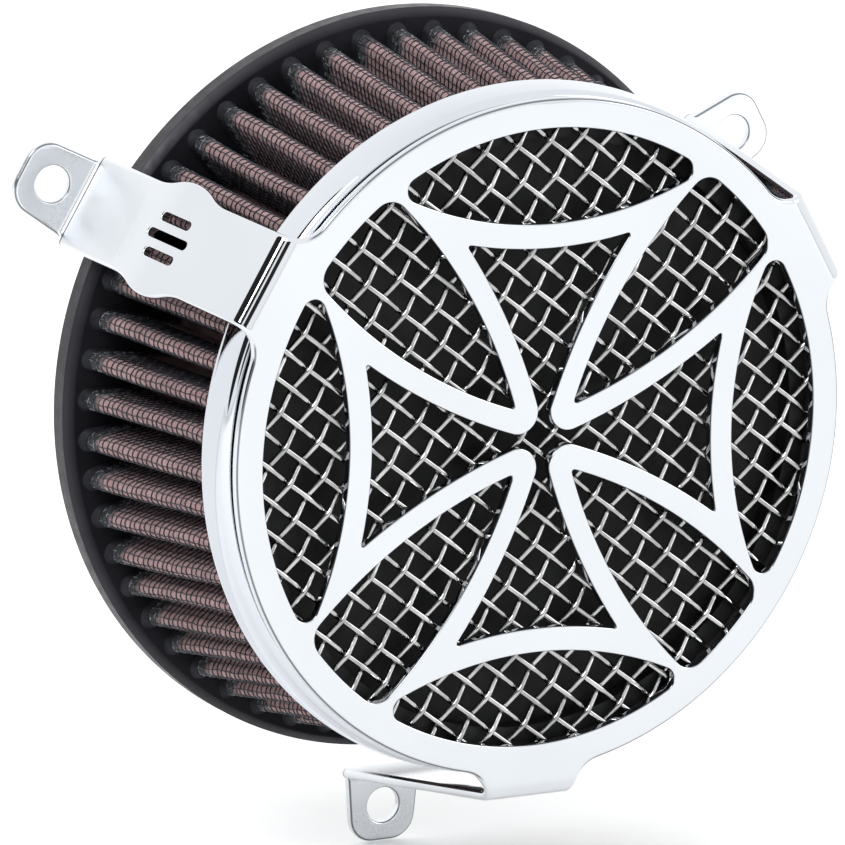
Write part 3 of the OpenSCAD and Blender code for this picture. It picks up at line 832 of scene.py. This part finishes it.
def gauze_crosswise(pleats):
    """Wires over each pleat's tip, with two points to each crossing where the tip is round."""
    round_end = math.ceil(TIP_LENGTH / GAUZE_PITCH)
    half = np.concatenate([np.arange(0, round_end, 0.5), np.arange(round_end, GAUZE_SIDE + 0.6, 1)])
    station = np.concatenate([-half[:0:-1], half])
    pleat, level, number = np.meshgrid(pleats, np.arange(len(GAUZE_LEVELS)), station, indexing="ij")
    weave = -np.cos(np.pi * (number + level))
    sway = 0.16 * np.sin(1.1 * number + 2.3 * pleat + 0.7 * level)
    z = GAUZE_LEVELS[level] + 0.16 * np.sin(np.pi * (number + level)) + sway
    at, up = pleat_points(pleat, number * GAUZE_PITCH, z, GAUZE_OFF + GAUZE_WEAVE * weave)
    shape = (-1, len(station), 3)
    return tubes(at.reshape(shape), up.reshape(shape), CROSSWISE_R, 3)


GAUZE_PARTS = 2
for part, pleats in enumerate(np.array_split(np.arange(PLEATS), GAUZE_PARTS), 1):
    stands_for = ["outer_screen"] if part == 1 else []
    piece(f"gauze_lengthwise_{part}", *gauze_lengthwise(pleats), "filter", "gauze", GAUZE, stands_for)
    piece(f"gauze_crosswise_{part}", *gauze_crosswise(pleats), "filter", "gauze", GAUZE)


SKIRT_PROFILE = ((-0.3, 1.3), (0.3, 1.15), (0.5, 0.6), (0.8, 0.22), (1.3, 0.05), (1.3, -1), (-0.3, -1))


def potting_skirt():
    """Urethane that climbs the pleats a little where they leave the flange. Its profile is a distance off
    the cotton and a height over the flange."""
    q = cloth_stations()
    pleat, q = np.repeat(np.arange(PLEATS), len(q)), np.tile(q, PLEATS)
    blob = 0.5 + 0.5 * np.sin(3.1 * pleat + 0.9 * q) * np.cos(0.6 * q + pleat)
    rows = []
    for lift, rise in SKIRT_PROFILE:
        z = FLANGE_T + rise * (1 + 0.5 * blob if rise > 0 else 1)
        near = np.minimum(lift, 0.6 + 0.8 * np.exp(-np.abs(q) / 3))
        rows.append(pleat_points(pleat, q, z + 0 * q, near + 0 * q)[0])
    return np.vstack(rows), grid_faces(len(q), len(rows))


piece("potting_skirt", *potting_skirt(), "filter", "flange",
      black_coat("wet_urethane", (0.006, 0.006, 0.008), (0.016, 0.017, 0.022), 0.8, 0.1, (0.5, 0.7), 0.16))


# ---- CAD nodes that stay, with better materials ----


def finish_node(node, look):
    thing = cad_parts[node]
    thing.data.materials.clear()
    thing.data.materials.append(look)


BINDING = black_coat("binding_ring", (0.008, 0.008, 0.009), (0.02, 0.02, 0.022), 1.2, 0.05)
CRACKLE = black_coat("crackle_black", (0.004, 0.004, 0.0045), (0.014, 0.0145, 0.015), 2.2, 0.25,
                     (0.45, 0.65), 0.18)
CAST_URETHANE = black_coat("cast_urethane", (0.015, 0.015, 0.017), (0.035, 0.035, 0.038), 1.0, 0.1)
finish_node("mesh_rim", BINDING)
finish_node("front_dish", CRACKLE)
finish_node("front_potting", CAST_URETHANE)
finish_node("seam_clip", STAINLESS)


# ---- floor, light and camera ----

FLOOR_HALF = 7.0
LOWEST = cad_box[0].z


def backdrop_look():
    look = Look("pale_floor", Specular_IOR_Level=0.1)
    look.set("Base Color", look.ramp(look.noise(400, 3), (0.3, 0.93), (0.7, 0.95)))
    look.set("Roughness", look.spread(look.noise(60, 3), 0.85, 0.95))
    return look.material


floor_mesh = bpy.data.meshes.new("floor")
floor_mesh.from_pydata([(x * FLOOR_HALF, y * FLOOR_HALF, LOWEST - 0.0005)
                        for x, y in ((-1, -1), (1, -1), (1, 1), (-1, 1))], [], [(0, 1, 2, 3)])
floor_mesh.materials.append(backdrop_look())
floor = bpy.data.objects.new("floor", floor_mesh)
bpy.context.scene.collection.objects.link(floor)

world = bpy.data.worlds.new("studio")
bpy.context.scene.world = world
world.use_nodes = True


def sky_node(kind, values, operation=None):
    made = world.node_tree.nodes.new("ShaderNode" + kind)
    if operation:
        made.operation = operation
    for socket, value in values.items():
        if isinstance(value, bpy.types.NodeSocket):
            world.node_tree.links.new(value, made.inputs[socket])
        else:
            made.inputs[socket].default_value = value
    return made


# A white tent with two dark openings: a wide one high on the left, and a small one in front.
OPENINGS = (((-0.85, -0.1, 0.52), 30), ((-0.475, -0.851, 0.223), 11))  # direction, half-angle in degrees
OPENING_SOFT = 3
SKY_WHITE, OPENING_GREY = 1.4, 0.03
towards = sky_node("TexCoord", {}).outputs["Generated"]
sky_level = SKY_WHITE
for opening, half_angle in OPENINGS:
    nearness = sky_node("VectorMath", {0: towards, 1: Vector(opening).normalized()}, "DOT_PRODUCT")
    darkness = sky_node("MapRange", {"Value": nearness.outputs["Value"],
                                     "From Min": math.cos(math.radians(half_angle + OPENING_SOFT)),
                                     "From Max": math.cos(math.radians(half_angle)),
                                     "To Min": SKY_WHITE, "To Max": OPENING_GREY})
    sky_level = sky_node("Math", {0: darkness.outputs["Result"], 1: sky_level}, "MINIMUM").outputs[0]
world.node_tree.links.new(sky_level, world.node_tree.nodes["Background"].inputs["Strength"])
world.node_tree.nodes["Background"].inputs["Color"].default_value = (0.985, 0.995, 1.0, 1)


def soft_box(name, at, aim, width, height, power):
    light = bpy.data.lights.new(name, "AREA")
    light.shape = "RECTANGLE"
    light.size, light.size_y = width, height
    light.energy = power
    holder = bpy.data.objects.new(name, light)
    holder.location = at
    holder.rotation_euler = (Vector(aim) - Vector(at)).to_track_quat("-Z", "Y").to_euler()
    bpy.context.scene.collection.objects.link(holder)


soft_box("key_left_above", (-1.3, -0.9, 1.5), (0, 0, 0), 1.2, 1.0, 30)
soft_box("fill_right", (1.6, -1.2, 0.8), (0, 0, 0), 1.0, 1.2, 10)

CAMERA_AT = Vector((-0.8677, -1.5702, 0.3981))
CAMERA_LOOKS = Vector((0.4754, 0.8511, -0.2228))
CAMERA_ROLL = math.radians(1.68)
CAMERA_LENS = 318.6

camera_data = bpy.data.cameras.new("camera")
camera_data.sensor_width = 36
camera_data.lens = CAMERA_LENS
camera_data.clip_end = 50
camera = bpy.data.objects.new("camera", camera_data)
camera.location = CAMERA_AT
camera.rotation_mode = "QUATERNION"
camera.rotation_quaternion = CAMERA_LOOKS.to_track_quat("-Z", "Y") @ Quaternion((0, 0, 1), CAMERA_ROLL)
bpy.context.scene.collection.objects.link(camera)
bpy.context.scene.camera = camera
bpy.context.scene.view_settings.view_transform = "Standard"
